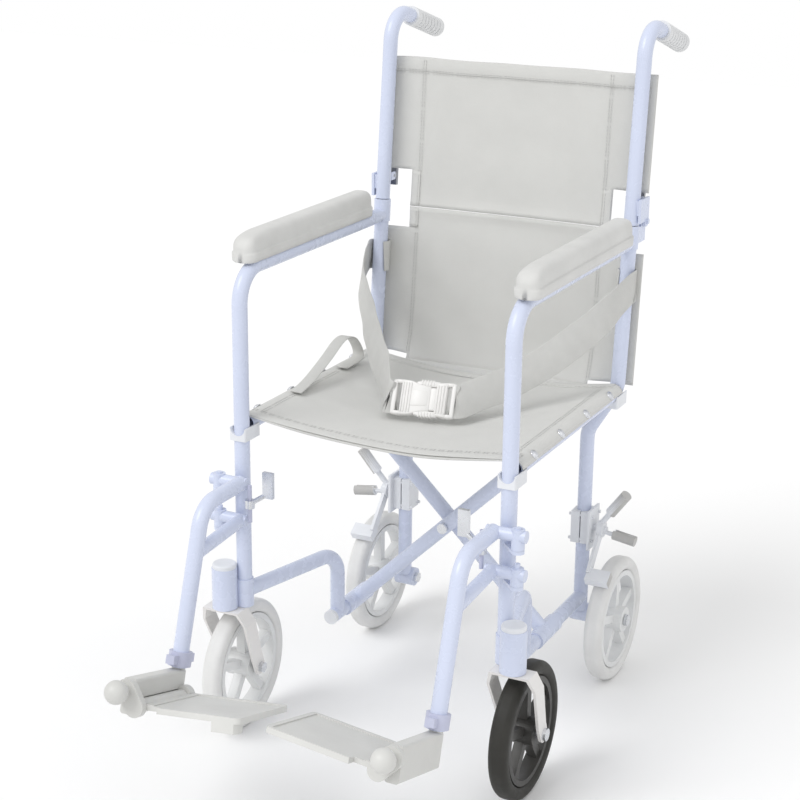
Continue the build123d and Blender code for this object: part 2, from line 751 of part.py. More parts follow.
def centred(parts):
    """Move everything so that the origin is the middle of the floor rectangle."""
    boxes = [shape.bounding_box() for shape in parts.values()]
    x = (min(b.min.X for b in boxes) + max(b.max.X for b in boxes)) / 2
    y = (min(b.min.Y for b in boxes) + max(b.max.Y for b in boxes)) / 2
    z = min(b.min.Z for b in boxes)
    shift = Vector(-x, -y, -z)
    moved = {}
    for name, shape in parts.items():
        moved[name] = group(*[Pos(shift) * solid for solid in shape.solids()])
    return shift, moved


shift, parts = centred(assembly())
os.makedirs("parts", exist_ok=True)
for name, shape in parts.items():
    export_step(shape, f"parts/{name}.step")
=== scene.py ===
from math import atan2, cos, hypot, pi, radians, sin, tan

import bmesh
import bpy
import numpy as np
from mathutils import Matrix, Vector, noise


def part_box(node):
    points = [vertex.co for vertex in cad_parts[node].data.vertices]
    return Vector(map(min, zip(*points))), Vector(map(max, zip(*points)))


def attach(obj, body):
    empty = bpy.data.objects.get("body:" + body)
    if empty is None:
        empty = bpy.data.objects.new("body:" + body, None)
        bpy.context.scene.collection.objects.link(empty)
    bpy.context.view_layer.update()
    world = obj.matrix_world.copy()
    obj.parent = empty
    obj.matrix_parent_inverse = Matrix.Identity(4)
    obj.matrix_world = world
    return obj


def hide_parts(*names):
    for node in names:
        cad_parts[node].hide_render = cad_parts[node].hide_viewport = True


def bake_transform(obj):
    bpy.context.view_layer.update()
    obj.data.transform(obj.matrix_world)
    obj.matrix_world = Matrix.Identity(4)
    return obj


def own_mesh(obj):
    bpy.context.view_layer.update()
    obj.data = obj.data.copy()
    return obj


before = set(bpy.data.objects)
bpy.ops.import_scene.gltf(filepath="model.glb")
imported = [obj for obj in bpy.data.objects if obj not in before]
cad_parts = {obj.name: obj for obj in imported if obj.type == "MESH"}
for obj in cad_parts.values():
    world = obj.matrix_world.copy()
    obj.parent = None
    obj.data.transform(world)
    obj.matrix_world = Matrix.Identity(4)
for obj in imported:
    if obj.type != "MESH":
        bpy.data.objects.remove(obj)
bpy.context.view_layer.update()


# ---- places from the frame ----------------------------------------------------------------------
def centre(node):
    low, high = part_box(node)
    return (low + high) / 2


TUBE = 0.0111                          # radius of the frame tubes
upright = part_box("front_upright_left")
HALF = upright[1].x - TUBE             # middle of the side-frame tubes
FRONT = upright[0].y + TUBE            # axis of the front uprights
SEAT = centre("seat_rail_left").z      # centre of the seat rails
ARM = upright[1].z - TUBE              # centre of the arm tubes
LEAN = tan(radians(5.6))               # the back leans rearwards
SIDES = (("left", 1), ("right", -1))


# ---- camera ---------------------------------------------------------------------------------------
AZIMUTH, ELEVATION, ROLL = radians(26.47), radians(18.13), radians(0.49)
DISTANCE = 2.6578
AIM = Vector((-0.0656, FRONT + 0.2, 0.4678))
LENS, SENSOR = 81.35, 36
SHIFT_X, SHIFT_Y = 0.0075, 0.0129


def make_camera():
    back = Vector((sin(AZIMUTH) * cos(ELEVATION), -cos(AZIMUTH) * cos(ELEVATION), sin(ELEVATION)))
    right = Vector((cos(AZIMUTH), sin(AZIMUTH), 0))
    up = back.cross(right)
    turned_right = right * cos(ROLL) + up * sin(ROLL)
    turned_up = up * cos(ROLL) - right * sin(ROLL)
    data = bpy.data.cameras.new("camera")
    data.lens = LENS
    data.sensor_width = SENSOR
    data.shift_x = SHIFT_X
    data.shift_y = SHIFT_Y
    camera = bpy.data.objects.new("camera", data)
    camera.matrix_world = Matrix.Translation(AIM + back * DISTANCE) @ Matrix((
        (turned_right.x, turned_up.x, back.x, 0),
        (turned_right.y, turned_up.y, back.y, 0),
        (turned_right.z, turned_up.z, back.z, 0),
        (0, 0, 0, 1)))
    bpy.context.scene.collection.objects.link(camera)
    bpy.context.scene.camera = camera


make_camera()


# ---- mesh helpers ---------------------------------------------------------------------------------
def mesh_object(name, verts, faces, material, smooth=True):
    """A linked object with outward normals and one material."""
    mesh = bpy.data.meshes.new(name)
    mesh.from_pydata([tuple(v) for v in verts], [], faces)
    mesh.update()
    work = bmesh.new()
    work.from_mesh(mesh)
    bmesh.ops.recalc_face_normals(work, faces=work.faces)
    work.to_mesh(mesh)
    work.free()
    for polygon in mesh.polygons:
        polygon.use_smooth = smooth
    obj = bpy.data.objects.new(name, mesh)
    obj.data.materials.append(material)
    bpy.context.scene.collection.objects.link(obj)
    return obj


def loft(rings):
    """Vertices and faces of a closed skin through equal rings, with both ends capped."""
    count = len(rings[0])
    verts = [Vector(p) for ring in rings for p in ring]
    faces = []
    for i in range(len(rings) - 1):
        for k in range(count):
            a, b = i * count + k, i * count + (k + 1) % count
            faces.append((a, b, b + count, a + count))
    faces.append(tuple(range(count)))
    faces.append(tuple(range(len(verts) - count, len(verts))))
    return verts, faces


def merged(pieces):
    """Vertices and faces of several pieces as one mesh."""
    verts, faces = [], []
    for v, f in pieces:
        base = len(verts)
        verts += v
        faces += [tuple(base + i for i in face) for face in f]
    return verts, faces


def rounded(width, height, radius, steps=4):
    """Points of a rounded rectangle round the origin."""
    points = []
    for cx, cy, start in ((1, 1, 0), (-1, 1, 90), (-1, -1, 180), (1, -1, 270)):
        for k in range(steps + 1):
            a = radians(start + 90 * k / steps)
            points.append((cx * (width / 2 - radius) + radius * cos(a),
                           cy * (height / 2 - radius) + radius * sin(a)))
    return points


def smooth_path(points, steps=10):
    """Catmull-Rom points through the given ones; a point may carry more than three numbers."""
    p = [np.array(q, float) for q in points]
    p = [2 * p[0] - p[1]] + p + [2 * p[-1] - p[-2]]
    out = []
    for i in range(1, len(p) - 2):
        for k in range(steps):
            t = k / steps
            out.append(0.5 * ((2 * p[i]) + (p[i + 1] - p[i - 1]) * t
                              + (2 * p[i - 1] - 5 * p[i] + 4 * p[i + 1] - p[i + 2]) * t * t
                              + (3 * p[i] - p[i - 1] - 3 * p[i + 1] + p[i + 2]) * t ** 3))
    out.append(p[-2])
    return out


def ribbon(points, width, thick, steps=10, wave=0.0):
    """Flat band through points of (x, y, z, ax, ay, az), where a is the direction across the band."""
    path = smooth_path(points, steps)
    rings = []
    for i, q in enumerate(path):
        here = Vector(q[:3])
        ahead = Vector(path[min(i + 1, len(path) - 1)][:3]) - Vector(path[max(i - 1, 0)][:3])
        ahead.normalize()
        across = Vector(q[3:6])
        across = (across - ahead * across.dot(ahead)).normalized()
        out = ahead.cross(across)
        ripple = wave * noise.noise(here * 22)
        ring = []
        for u, v in rounded(width, thick, thick * 0.45, 2):
            curl = 0.5 * ripple * (2 * u / width) ** 2
            ring.append(here + across * u + out * (v + ripple + curl))
        rings.append(ring)
    return loft(rings)


def dash(a, b, radius):
    """One stitch: a thin six-sided bead from a to b."""
    a, b = Vector(a), Vector(b)
    along = (b - a).normalized()
    side = along.orthogonal().normalized()
    other = along.cross(side)
    rings = []
    for t, r in ((0, 0.4), (0.2, 1), (0.8, 1), (1, 0.4)):
        middle = a.lerp(b, t)
        rings.append([middle + (side * cos(k * pi / 3) + other * sin(k * pi / 3)) * radius * r
                      for k in range(6)])
    return loft(rings)


def stitches(points, pitch=0.0052, length=0.0036, radius=0.00042):
    """Stitches along a polyline."""
    pieces = []
    carry = 0.0
    for a, b in zip(points, points[1:]):
        a, b = Vector(a), Vector(b)
        span = (b - a).length
        if span < 1e-6:
            continue
        at = carry
        while at + length < span:
            pieces.append(dash(a.lerp(b, at / span), a.lerp(b, (at + length) / span), radius))
            at += pitch
        carry = max(0.0, at - span)
    return pieces


# ---- materials -------------------------------------------------------------------------------------
def linear(colour):
    """sRGB values of 0 to 255 as scene-linear ones."""
    return tuple((c / 255 / 12.92) if c / 255 <= 0.04045 else ((c / 255 + 0.055) / 1.055) ** 2.4
                 for c in colour)


class Shader:
    """A Principled material with helpers for the procedural nodes in front of it."""

    def __init__(self, name, roughness=0.5, metallic=0.0, specular=0.5):
        self.material = bpy.data.materials.new(name)
        self.material.use_nodes = True
        self.tree = self.material.node_tree
        self.main = self.tree.nodes["Principled BSDF"]
        self.main.inputs["Roughness"].default_value = roughness
        self.main.inputs["Metallic"].default_value = metallic
        self.main.inputs["Specular IOR Level"].default_value = specular
        self.place = self.node("ShaderNodeTexCoord").outputs["Object"]

    def node(self, kind, **values):
        made = self.tree.nodes.new(kind)
        for key, value in values.items():
            if key in made.inputs:
                made.inputs[key].default_value = value
            else:
                setattr(made, key, value)
        return made

    def link(self, a, b):
        self.tree.links.new(a, b)

    def noise(self, scale, detail=3.0, roughness=0.5):
        made = self.node("ShaderNodeTexNoise", Scale=scale, Detail=detail, Roughness=roughness)
        self.link(self.place, made.inputs["Vector"])
        return made.outputs["Fac"]

    def wave(self, scale, direction, kind="BANDS", distortion=0.0, detail_scale=1.0):
        made = self.node("ShaderNodeTexWave", wave_type=kind, bands_direction=direction)
        made.inputs["Scale"].default_value = scale
        made.inputs["Distortion"].default_value = distortion
        made.inputs["Detail Scale"].default_value = detail_scale
        self.link(self.place, made.inputs["Vector"])
        return made.outputs["Fac"]

    def cells(self, scale):
        made = self.node("ShaderNodeTexVoronoi", feature="DISTANCE_TO_EDGE")
        made.inputs["Scale"].default_value = scale
        self.link(self.place, made.inputs["Vector"])
        return made.outputs["Distance"]

    def math(self, operation, a, b):
        made = self.node("ShaderNodeMath", operation=operation)
        for slot, value in zip(made.inputs, (a, b)):
            if isinstance(value, (int, float)):
                slot.default_value = value
            else:
                self.link(value, slot)
        return made.outputs[0]

    def colour(self, factor, stops):
        ramp = self.node("ShaderNodeValToRGB")
        elements = ramp.color_ramp.elements
        while len(elements) < len(stops):
            elements.new(0.5)
        for element, (position, colour) in zip(elements, stops):
            element.position = position
            element.color = (*linear(colour), 1)
        self.link(factor, ramp.inputs["Fac"])
        self.link(ramp.outputs["Color"], self.main.inputs["Base Color"])

    def rough(self, factor, low, high):
        made = self.node("ShaderNodeMapRange")
        made.inputs["To Min"].default_value = low
        made.inputs["To Max"].default_value = high
        self.link(factor, made.inputs["Value"])
        self.link(made.outputs["Result"], self.main.inputs["Roughness"])

    def bump(self, *layers):
        """Stacked bumps of (height, strength, distance)."""
        normal = None
        for height, strength, distance in layers:
            made = self.node("ShaderNodeBump", Strength=strength, Distance=distance)
            self.link(height, made.inputs["Height"])
            if normal is not None:
                self.link(normal, made.inputs["Normal"])
            normal = made.outputs["Normal"]
        self.link(normal, self.main.inputs["Normal"])


def shade(colour, amount):
    return tuple(max(0, min(255, c + amount)) for c in colour)


def paint(name, colour, rough=0.32):
    s = Shader(name, rough, 0.0, 0.55)
    wear = s.noise(9, 5)
    s.colour(wear, ((0.3, shade(colour, -3)), (0.6, colour), (0.8, shade(colour, 2))))
    s.rough(s.noise(60, 3), rough - 0.03, rough + 0.05)
    s.bump((s.noise(900, 2), 0.05, 0.0001), (s.noise(12, 2), 0.03, 0.0004))
    return s.material


def metal(name, colour, rough=0.24):
    s = Shader(name, rough, 1.0)
    s.colour(s.noise(30, 4), ((0.25, shade(colour, -16)), (0.6, colour), (0.85, shade(colour, 8))))
    s.rough(s.noise(120, 4), rough - 0.06, rough + 0.14)
    s.bump((s.noise(600, 3), 0.2, 0.0002))
    return s.material


def moulded(name, colour, rough=0.45, grain=900, depth=0.35):
    s = Shader(name, rough)
    s.colour(s.noise(14, 4), ((0.3, shade(colour, -7)), (0.6, colour), (0.8, shade(colour, 4))))
    s.rough(s.noise(200, 3), rough - 0.05, rough + 0.12)
    s.bump((s.noise(grain, 3), depth, 0.0003), (s.noise(35, 2), 0.1, 0.0008))
    return s.material


def skin(name, colour):
    """Integral-skin foam with a leather grain."""
    s = Shader(name, 0.5)
    s.colour(s.noise(18, 4), ((0.3, shade(colour, -8)), (0.6, colour), (0.85, shade(colour, 5))))
    s.rough(s.noise(150, 3), 0.42, 0.6)
    s.bump((s.cells(420), 0.45, 0.0006), (s.noise(700, 3), 0.25, 0.0003), (s.noise(16, 2), 0.2, 0.0015))
    return s.material


def rubber(name, colour, rough=0.6):
    s = Shader(name, rough, 0.0, 0.4)
    s.colour(s.noise(24, 5), ((0.3, shade(colour, -8)), (0.6, colour), (0.85, shade(colour, 6))))
    s.rough(s.noise(90, 3), rough - 0.08, rough + 0.1)
    s.bump((s.noise(520, 4), 0.4, 0.0004), (s.noise(60, 2), 0.15, 0.0008))
    return s.material


def cloth(name, colour, across, along, scale=260, dark=10):
    """Plain weave: two crossed sets of fine ribs, with slow waves in the fabric."""
    s = Shader(name, 0.72, 0.0, 0.35)
    warp = s.wave(scale, across, distortion=0.6, detail_scale=2.0)
    weft = s.wave(scale, along, distortion=0.6, detail_scale=2.0)
    weave = s.math("MAXIMUM", warp, weft)
    mixed = s.math("ADD", s.math("MULTIPLY", weave, 0.6), s.math("MULTIPLY", s.noise(26, 4), 0.4))
    s.colour(mixed, ((0.2, shade(colour, -dark)), (0.55, colour), (0.9, shade(colour, 4))))
    s.rough(s.noise(80, 3), 0.64, 0.82)
    s.bump((weave, 0.5, 0.0005), (s.noise(11, 3), 0.35, 0.006), (s.noise(45, 3), 0.18, 0.0012))
    s.main.inputs["Sheen Weight"].default_value = 0.15
    return s.material


def webbing(name, colour):
    s = Shader(name, 0.7, 0.0, 0.35)
    ribs = s.wave(330, "DIAGONAL", distortion=0.4)
    fine = s.wave(520, "X", distortion=0.3)
    s.colour(s.math("ADD", s.math("MULTIPLY", ribs, 0.6), s.math("MULTIPLY", s.noise(60, 3), 0.4)),
             ((0.2, shade(colour, -16)), (0.6, colour), (0.9, shade(colour, 5))))
    s.rough(s.noise(90, 3), 0.6, 0.8)
    s.bump((ribs, 0.6, 0.0005), (fine, 0.3, 0.0003), (s.noise(40, 3), 0.15, 0.001))
    return s.material


M = {
    "frame_paint": paint("frame paint", (204, 211, 231), 0.26),
    "bright_metal": metal("bright metal", (226, 228, 232)),
    "fork_metal": paint("fork finish", (228, 226, 224), 0.36),
    "pale_plastic": moulded("pale plastic", (226, 228, 232)),
    "arm_pad": skin("arm pad skin", (209, 209, 207)),
    "grip_rubber": rubber("grip rubber", (222, 223, 224)),
    "wheel_grey": moulded("grey wheel", (222, 223, 223), 0.42),
    "tyre_grey": rubber("grey tyre", (219, 219, 218)),
    "wheel_black": moulded("black wheel", (62, 61, 59), 0.4),
    "tyre_black": rubber("black tyre", (44, 43, 39), 0.55),
    "buckle": moulded("buckle plastic", (232, 231, 229), 0.38),
    "dark_steel": metal("dark steel", (150, 152, 158), 0.4),
    "knob_plastic": moulded("knob plastic", (205, 205, 202), 0.36),
    "plate_plastic": moulded("plate plastic", (209, 209, 206), 0.42),
    "brake_grip": rubber("brake grip", (188, 187, 185), 0.5),
    "collar": moulded("collar plastic", (190, 193, 214), 0.4),
    "seat_cloth": cloth("seat cloth", (209, 209, 206), "X", "Y"),
    "back_cloth": cloth("back cloth", (208, 208, 205), "X", "Z"),
    "webbing": webbing("belt webbing", (211, 211, 208)),
    "thread": cloth("thread", (198, 198, 196), "X", "Z", 900),
}

for node_name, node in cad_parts.items():
    for place in node.material_slots:
        wanted = place.material.name.split(".")[0] if place.material else ""
        if wanted == "upholstery":
            place.material = M["seat_cloth"]
        elif wanted in M:
            place.material = M[wanted]
        else:
            place.material = M["pale_plastic"]


# ---- places measured on the frame -------------------------------------------------------------------
low_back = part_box("back_sling_lower")
high_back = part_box("back_sling_upper")
BACK_LOW, SPLIT, BACK_HIGH = low_back[0].z, (low_back[1].z + high_back[0].z) / 2, high_back[1].z
BACK_WIDE = high_back[1].x
PANEL_Y = high_back[1].y               # rear face of the panel at its top edge
NOTCH_X = HALF - 0.039
NOTCH_LOW, NOTCH_HIGH = 0.684, 0.774
CLOTH = 0.0018                         # thickness of the cloth
SLIT = 0.0006                          # half the gap between the upper and lower panels
TAIL_X, TAIL_LOW = 0.153, 0.462        # the lower edge hangs down behind the seat between the legs


def panel_y(z):
    """y of the back panel's middle surface at a height."""
    return PANEL_Y - 0.0015 + (z - BACK_HIGH) * LEAN


def back_point(x, z):
    """Point of the slack back panel: it bellies backwards between the canes and creases at the fold."""
    inside = max(0.0, 1 - (x / HALF) ** 2)
    rise = (z - BACK_LOW) / (BACK_HIGH - BACK_LOW)
    belly = 0.010 * inside ** 0.8 * (0.45 + 0.55 * sin(pi * min(1, max(0, rise * 0.9 + 0.05))))
    crease = -0.004 * inside * np.exp(-((z - SPLIT) / 0.010) ** 2)
    fold = 0.0022 * noise.noise(Vector((x * 5, z * 16, 2))) * inside
    pull = 0.0016 * noise.noise(Vector((x * 26, z * 7, 5))) * (1 - inside * 0.4)
    low = min(1.0, max(0.0, (BACK_LOW + 0.050 - z) / 0.070))
    between = min(1.0, max(0.0, (HALF - 0.022 - abs(x)) / 0.030))
    belly -= 0.017 * low ** 1.5 * between
    top = 0.003 * noise.noise(Vector((x * 9, 3, 1))) * max(0, rise - 0.85) / 0.15
    return Vector((x, panel_y(z) + belly + crease + fold + pull * 0.6, z + top))


def spread(edges, step):
    """Even grid lines that include every given edge."""
    lines = []
    for a, b in zip(edges, edges[1:]):
        count = max(1, round((b - a) / step))
        lines += [a + (b - a) * k / count for k in range(count)]
    return lines + [edges[-1]]


def cloth_grid(name, xs, zs, keep, point, material, thick=CLOTH):
    """A cut sheet of cloth as a closed thin skin; keep(x, z) says which cells are cloth."""
    front, faces = [], []
    for z in zs:
        for x in xs:
            front.append(point(x, z))
    columns = len(xs)
    for j in range(len(zs) - 1):
        for i in range(columns - 1):
            if keep((xs[i] + xs[i + 1]) / 2, (zs[j] + zs[j + 1]) / 2):
                a = j * columns + i
                faces.append((a, a + 1, a + columns + 1, a + columns))
    used = sorted({i for face in faces for i in face})
    order = {old: new for new, old in enumerate(used)}
    kept_faces = [tuple(order[i] for i in face) for face in faces]
    obj = mesh_object(name, [front[i] for i in used], kept_faces, material)
    solid = obj.modifiers.new("thick", "SOLIDIFY")
    solid.thickness = thick
    solid.offset = 0
    apply_modifiers(obj)
    return obj


def apply_modifiers(obj):
    """Bakes an object's modifiers into its mesh."""
    bpy.context.view_layer.update()
    evaluated = obj.evaluated_get(bpy.context.evaluated_depsgraph_get())
    mesh = bpy.data.meshes.new_from_object(evaluated)
    obj.modifiers.clear()
    obj.data = mesh
    for polygon in mesh.polygons:
        polygon.use_smooth = True


def narrows(obj):
    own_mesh(obj)


# ---- back upholstery ----------------------------------------------------------------------------------
def make_back():
    xs = spread([-BACK_WIDE, -NOTCH_X, -TAIL_X, TAIL_X, NOTCH_X, BACK_WIDE], 0.006)

    def keep(x, z):
        if z < BACK_LOW + 0.002:
            return abs(x) < TAIL_X
        return abs(x) < NOTCH_X or not NOTCH_LOW < z < NOTCH_HIGH

    upper_edges = [SPLIT + SLIT, NOTCH_HIGH, BACK_HIGH - 0.003]
    lower_edges = [TAIL_LOW, BACK_LOW + 0.002, NOTCH_LOW, SPLIT - SLIT]
    for part, edges, body, post in (("upper", upper_edges, "back_right", "upper_cane"),
                                    ("lower", lower_edges, "frame_right", "rear_post")):
        name = "back_cloth_" + part
        zs = spread(edges, 0.006)
        panel = cloth_grid(name, xs, zs, keep, back_point, M["back_cloth"])
        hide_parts("back_sling_" + part)
        trim = mesh_object(name + "_hems", *merged(back_hems(part, zs)), M["back_cloth"])
        seams = mesh_object(name + "_stitching", *merged(back_stitches(part, zs)), M["thread"])
        for obj in (panel, trim, seams):
            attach(obj, body)
            narrows(obj)
        middle = [back_point(0.1, z) for z in zs]


def strip(points, width, direction, side, thick=0.0012):
    """A folded hem laid on the panel's front or rear face along points."""
    path = []
    for p in points:
        q = Vector(p) + Vector((0, side * 0.0013, 0))
        path.append((q.x, q.y, q.z, *direction))
    return ribbon(path, width, thick, 1)


def back_hems(part, zs):
    """Hems on one back panel: its free top or bottom edge, its outer sides and its notch sides."""
    if part == "upper":
        reach, level, width = BACK_WIDE, BACK_HIGH - 0.014, 0.021
        rows = spread([NOTCH_HIGH + 0.001, BACK_HIGH - 0.004], 0.008)
    else:
        reach, level, width = TAIL_X, TAIL_LOW + 0.010, 0.018
        rows = spread([BACK_LOW + 0.003, NOTCH_LOW - 0.001], 0.008)
    free_edge = [back_point(x, level) for x in spread([-reach + 0.001, reach - 0.001], 0.008)]
    pieces = [strip(free_edge, width, (0, LEAN, 1), side) for side in (-1, 1)]
    notch_rows = spread([max(zs[0], NOTCH_LOW, BACK_LOW) + 0.001, min(zs[-1], NOTCH_HIGH) - 0.001], 0.006)
    for edge in (-1, 1):
        outer = [back_point(edge * (BACK_WIDE - 0.0075), z) for z in rows]
        notch = [back_point(edge * (NOTCH_X - 0.008), z) for z in notch_rows]
        pieces.append(strip(outer, 0.014, (1, 0, 0), -1))
        pieces.append(strip(notch, 0.013, (1, 0, 0), -1))
    return pieces


def back_stitches(part, zs):
    """Seams along one back panel's free edge and down its sides."""
    lift = Vector((0, -0.0024, 0))
    if part == "upper":
        level_seams = [(BACK_WIDE, BACK_HIGH - 0.022), (BACK_WIDE, BACK_HIGH - 0.026)]
        outer_span = [NOTCH_HIGH + 0.002, zs[-1] - 0.004]
    else:
        zs = [z for z in zs if z > BACK_LOW]
        level_seams = [(TAIL_X, TAIL_LOW + 0.017)]
        outer_span = [zs[0] + 0.004, NOTCH_LOW - 0.002]
    full_span = [zs[0] + 0.004, zs[-1] - 0.004]
    pieces = []
    for reach, level in level_seams:
        row = spread([-reach + 0.004, reach - 0.004], 0.01)
        pieces += stitches([back_point(x, level) + lift for x in row])
    for edge in (-1, 1):
        for x, span in ((NOTCH_X - 0.0115, full_span), (NOTCH_X - 0.0155, full_span),
                        (BACK_WIDE - 0.012, outer_span)):
            pieces += stitches([back_point(edge * x, z) + lift for z in spread(span, 0.01)])
    return pieces


make_back()

# ---- seat upholstery ----------------------------------------------------------------------------------
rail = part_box("seat_rail_left")
SEAT_FRONT, SEAT_REAR = rail[0].y - 0.003, rail[1].y + 0.001
SEAT_TOP = SEAT + TUBE + 0.0018
SAG = 0.016


def seat_profile(t):
    """Width position and height of the seat cloth; t runs from -1 to 1 and wraps each rail's outer side."""
    side = 1 if t >= 0 else -1
    s = abs(t)
    bend = 0.93
    if s > bend:
        a = (s - bend) / (1 - bend) * radians(82)
        r = SEAT_TOP - SEAT
        return side * (HALF + r * sin(a)), SEAT + r * cos(a)
    return side * HALF * s / bend, SEAT_TOP - SAG * (1 - (s / bend) ** 2)


def seat_point(t, y):
    x, z = seat_profile(t)
    inside = max(0.0, 1 - (x / HALF) ** 2) if abs(x) < HALF else 0.0
    depth = (y - SEAT_FRONT) / (SEAT_REAR - SEAT_FRONT)
    slack = inside * (-0.004 * sin(pi * depth) + 0.0035 * noise.noise(Vector((x * 7, y * 6, 4))))
    pull = 0.0012 * inside ** 0.5 * noise.noise(Vector((x * 8, y * 34, 7)))
    front = 0.0
    if depth < 0.04:
        front = -0.004 * (1 - depth / 0.04) ** 2 * inside
    return Vector((x, y - 0.003 * inside * (depth - 0.5), z + slack + pull + front))


def make_seat():
    ts = [-1 + 2 * k / 100 for k in range(101)]
    ys = spread([SEAT_FRONT, SEAT_REAR], 0.006)
    seat = cloth_grid("seat_cloth", ts, ys, lambda t, y: True, seat_point, M["seat_cloth"])
    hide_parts("seat_sling")
    lift = Vector((0, 0, 0.0016))
    hems, thread = [], []
    inner = [t for t in ts if abs(t) <= 0.94]
    for y in (SEAT_FRONT + 0.012, SEAT_REAR - 0.012):
        path = [seat_point(t, y) + lift * 0.8 for t in inner]
        hems.append(ribbon([(p.x, p.y, p.z, 0, 1, 0) for p in path], 0.022, 0.0012, 1))
    for y in (SEAT_FRONT + 0.020, SEAT_FRONT + 0.024, SEAT_REAR - 0.020):
        thread += stitches([seat_point(t, y) + lift * 1.4 for t in inner])
    rows = spread([SEAT_FRONT + 0.005, SEAT_REAR - 0.005], 0.01)
    for edge in (-1, 1):
        for t in (0.868, 0.888):
            thread += stitches([seat_point(edge * t, y) + lift for y in rows])
    trim = mesh_object("seat_hems", *merged(hems), M["seat_cloth"])
    seams = mesh_object("seat_stitching", *merged(thread), M["thread"])
    for obj in (seat, trim, seams):
        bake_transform(obj)


make_seat()


# ---- arm pads -----------------------------------------------------------------------------------------
def pad_ring(node, side, y, y0, y1):
    """Section of the moulded pad: crowned top, a moulding step half way up, a channel for the tube."""
    low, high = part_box(node)
    middle = (low.x + high.x) / 2
    width = (high.x - low.x) / 2
    radius = width - 0.006
    edge = min(y - y0, y1 - y)
    inset = 0.0
    if edge < radius:
        inset = radius - (max(0.0, radius ** 2 - (radius - edge) ** 2)) ** 0.5
    half = max(width - inset, 0.0035)
    crown = 0.0
    if edge < 0.016:
        crown = 0.013 * (1 - max(0.0, 1 - ((0.016 - edge) / 0.016) ** 2) ** 0.5)
    toe = max(0.0, 1 - (y - y0) / 0.045) ** 2
    top, bottom = high.z - crown - 0.009 * toe, low.z + 0.0006
    step = low.z + (0.40 - 0.06 * toe) * (high.z - low.z)
    tube = side * HALF - middle
    channel = 0.0117
    points = [(half - 0.0028, bottom), (half - 0.0006, bottom + 0.0016), (half, bottom + 0.006),
              (half + 0.0002, step - 0.0022), (half - 0.0004, step - 0.0007), (half - 0.0019, step),
              (half - 0.0022, step + 0.002)]
    for k in range(1, 12):
        a = radians(90 * k / 11)
        n = 2 / 3.2
        points.append(((half - 0.0022) * cos(a) ** n, step + 0.002 + (top - step - 0.002) * sin(a) ** n))
    points += [(-x, z) for x, z in reversed(points[:-1])]
    rise = bottom - ARM
    if rise < channel and half > 0.006:
        start = atan2(rise, (channel ** 2 - rise ** 2) ** 0.5)
        for k in range(9):
            a = pi - start - (pi - 2 * start) * k / 8
            x = max(-half + 0.003, min(half - 0.003, tube + channel * cos(a)))
            points.append((x, ARM + channel * sin(a)))
    else:
        for k in range(9):
            points.append(((half - 0.003) * (k / 4 - 1) * 0.9, bottom))
    return [Vector((middle + x, y, z)) for x, z in points]


def make_pads():
    for name, side in SIDES:
        node = "arm_pad_" + name
        low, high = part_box(node)
        y0, y1 = low.y, high.y
        stations = []
        for k in range(15):
            stations.append(y0 + 0.02 * (1 - cos(radians(90 * k / 14))))
        stations += spread([y0 + 0.026, y1 - 0.026], 0.010)
        for k in range(15):
            stations.append(y1 - 0.02 * (1 - cos(radians(90 * (14 - k) / 14))))
        rings = [pad_ring(node, side, y, y0, y1) for y in stations]
        pad = mesh_object(node + "_foam", *loft(rings), M["arm_pad"])
        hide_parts(node)
        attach(pad, "frame_" + name)


make_pads()


# ---- screws that hold the upholstery --------------------------------------------------------------------
def screw(at, out):
    """Round-headed screw in a cup washer, standing on the cloth at a point and facing out."""
    out = Vector(out).normalized()
    side = out.orthogonal().normalized()
    other = out.cross(side)
    rings = []
    for radius_here, height in ((0.0070, -0.0006), (0.0074, 0.0002), (0.0066, 0.0010), (0.0046, 0.0012),
                                (0.0044, 0.0020), (0.0034, 0.0029), (0.0016, 0.0034)):
        middle = Vector(at) + out * height
        rings.append([middle + (side * cos(k * pi / 9) + other * sin(k * pi / 9)) * radius_here
                      for k in range(18)])
    return loft(rings)


def make_screws():
    for name, side in SIDES:
        for label, heights, body in (("upper", (0.800, 0.860, 0.925), "back_" + name),
                                     ("lower", (0.520, 0.585, 0.650), "frame_" + name)):
            pieces = []
            for z in heights:
                spot = back_point(side * HALF, z)
                pieces.append(screw((spot.x, spot.y + 0.0021, z), (0, 1, -LEAN)))
            obj = mesh_object(f"back_screws_{label}_{name}", *merged(pieces), M["bright_metal"])
            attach(obj, body)
        pieces = []
        a = radians(48)
        r = TUBE + 0.0028
        for y in spread([SEAT_FRONT + 0.045, SEAT_REAR - 0.045], 0.095):
            spot = (side * (HALF + r * sin(a)), y, SEAT + r * cos(a))
            pieces.append(screw(spot, (side * sin(a), 0, cos(a))))
        obj = mesh_object(f"seat_screws_{name}", *merged(pieces), M["bright_metal"])
        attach(obj, "brace_a" if name == "left" else "brace_b")


make_screws()


# ---- lap belt -----------------------------------------------------------------------------------------
BELT_HEIGHT, BELT_WIDE, BELT_THICK = 0.640, 0.047, 0.0018
LOOP_WIDE, LOOP_THICK = 0.019, 0.0016


def cane_axis(z):
    """y of the canes' axes at a height."""
    return panel_y(z) - 0.0156


def belt_wrap(side, z):
    """Band that goes round a cane and leaves forwards along its outer side."""
    points = []
    axis = Vector((side * HALF, cane_axis(z), z))
    for degrees_round in range(-40, 181, 20):
        a = radians(degrees_round)
        r = TUBE + 0.0024
        points.append((axis.x - side * r * cos(a), axis.y + r * sin(a), z, 0, LEAN, 1))
    return points


BUCKLE_AT = centre("buckle")
TURN, TILT = radians(12), radians(58)
BUCKLE_ALONG = Vector((cos(TURN), sin(TURN), 0))
BUCKLE_ACROSS = Vector((-sin(TURN) * cos(TILT), cos(TURN) * cos(TILT), sin(TILT)))
BUCKLE_FACE = BUCKLE_ALONG.cross(BUCKLE_ACROSS)


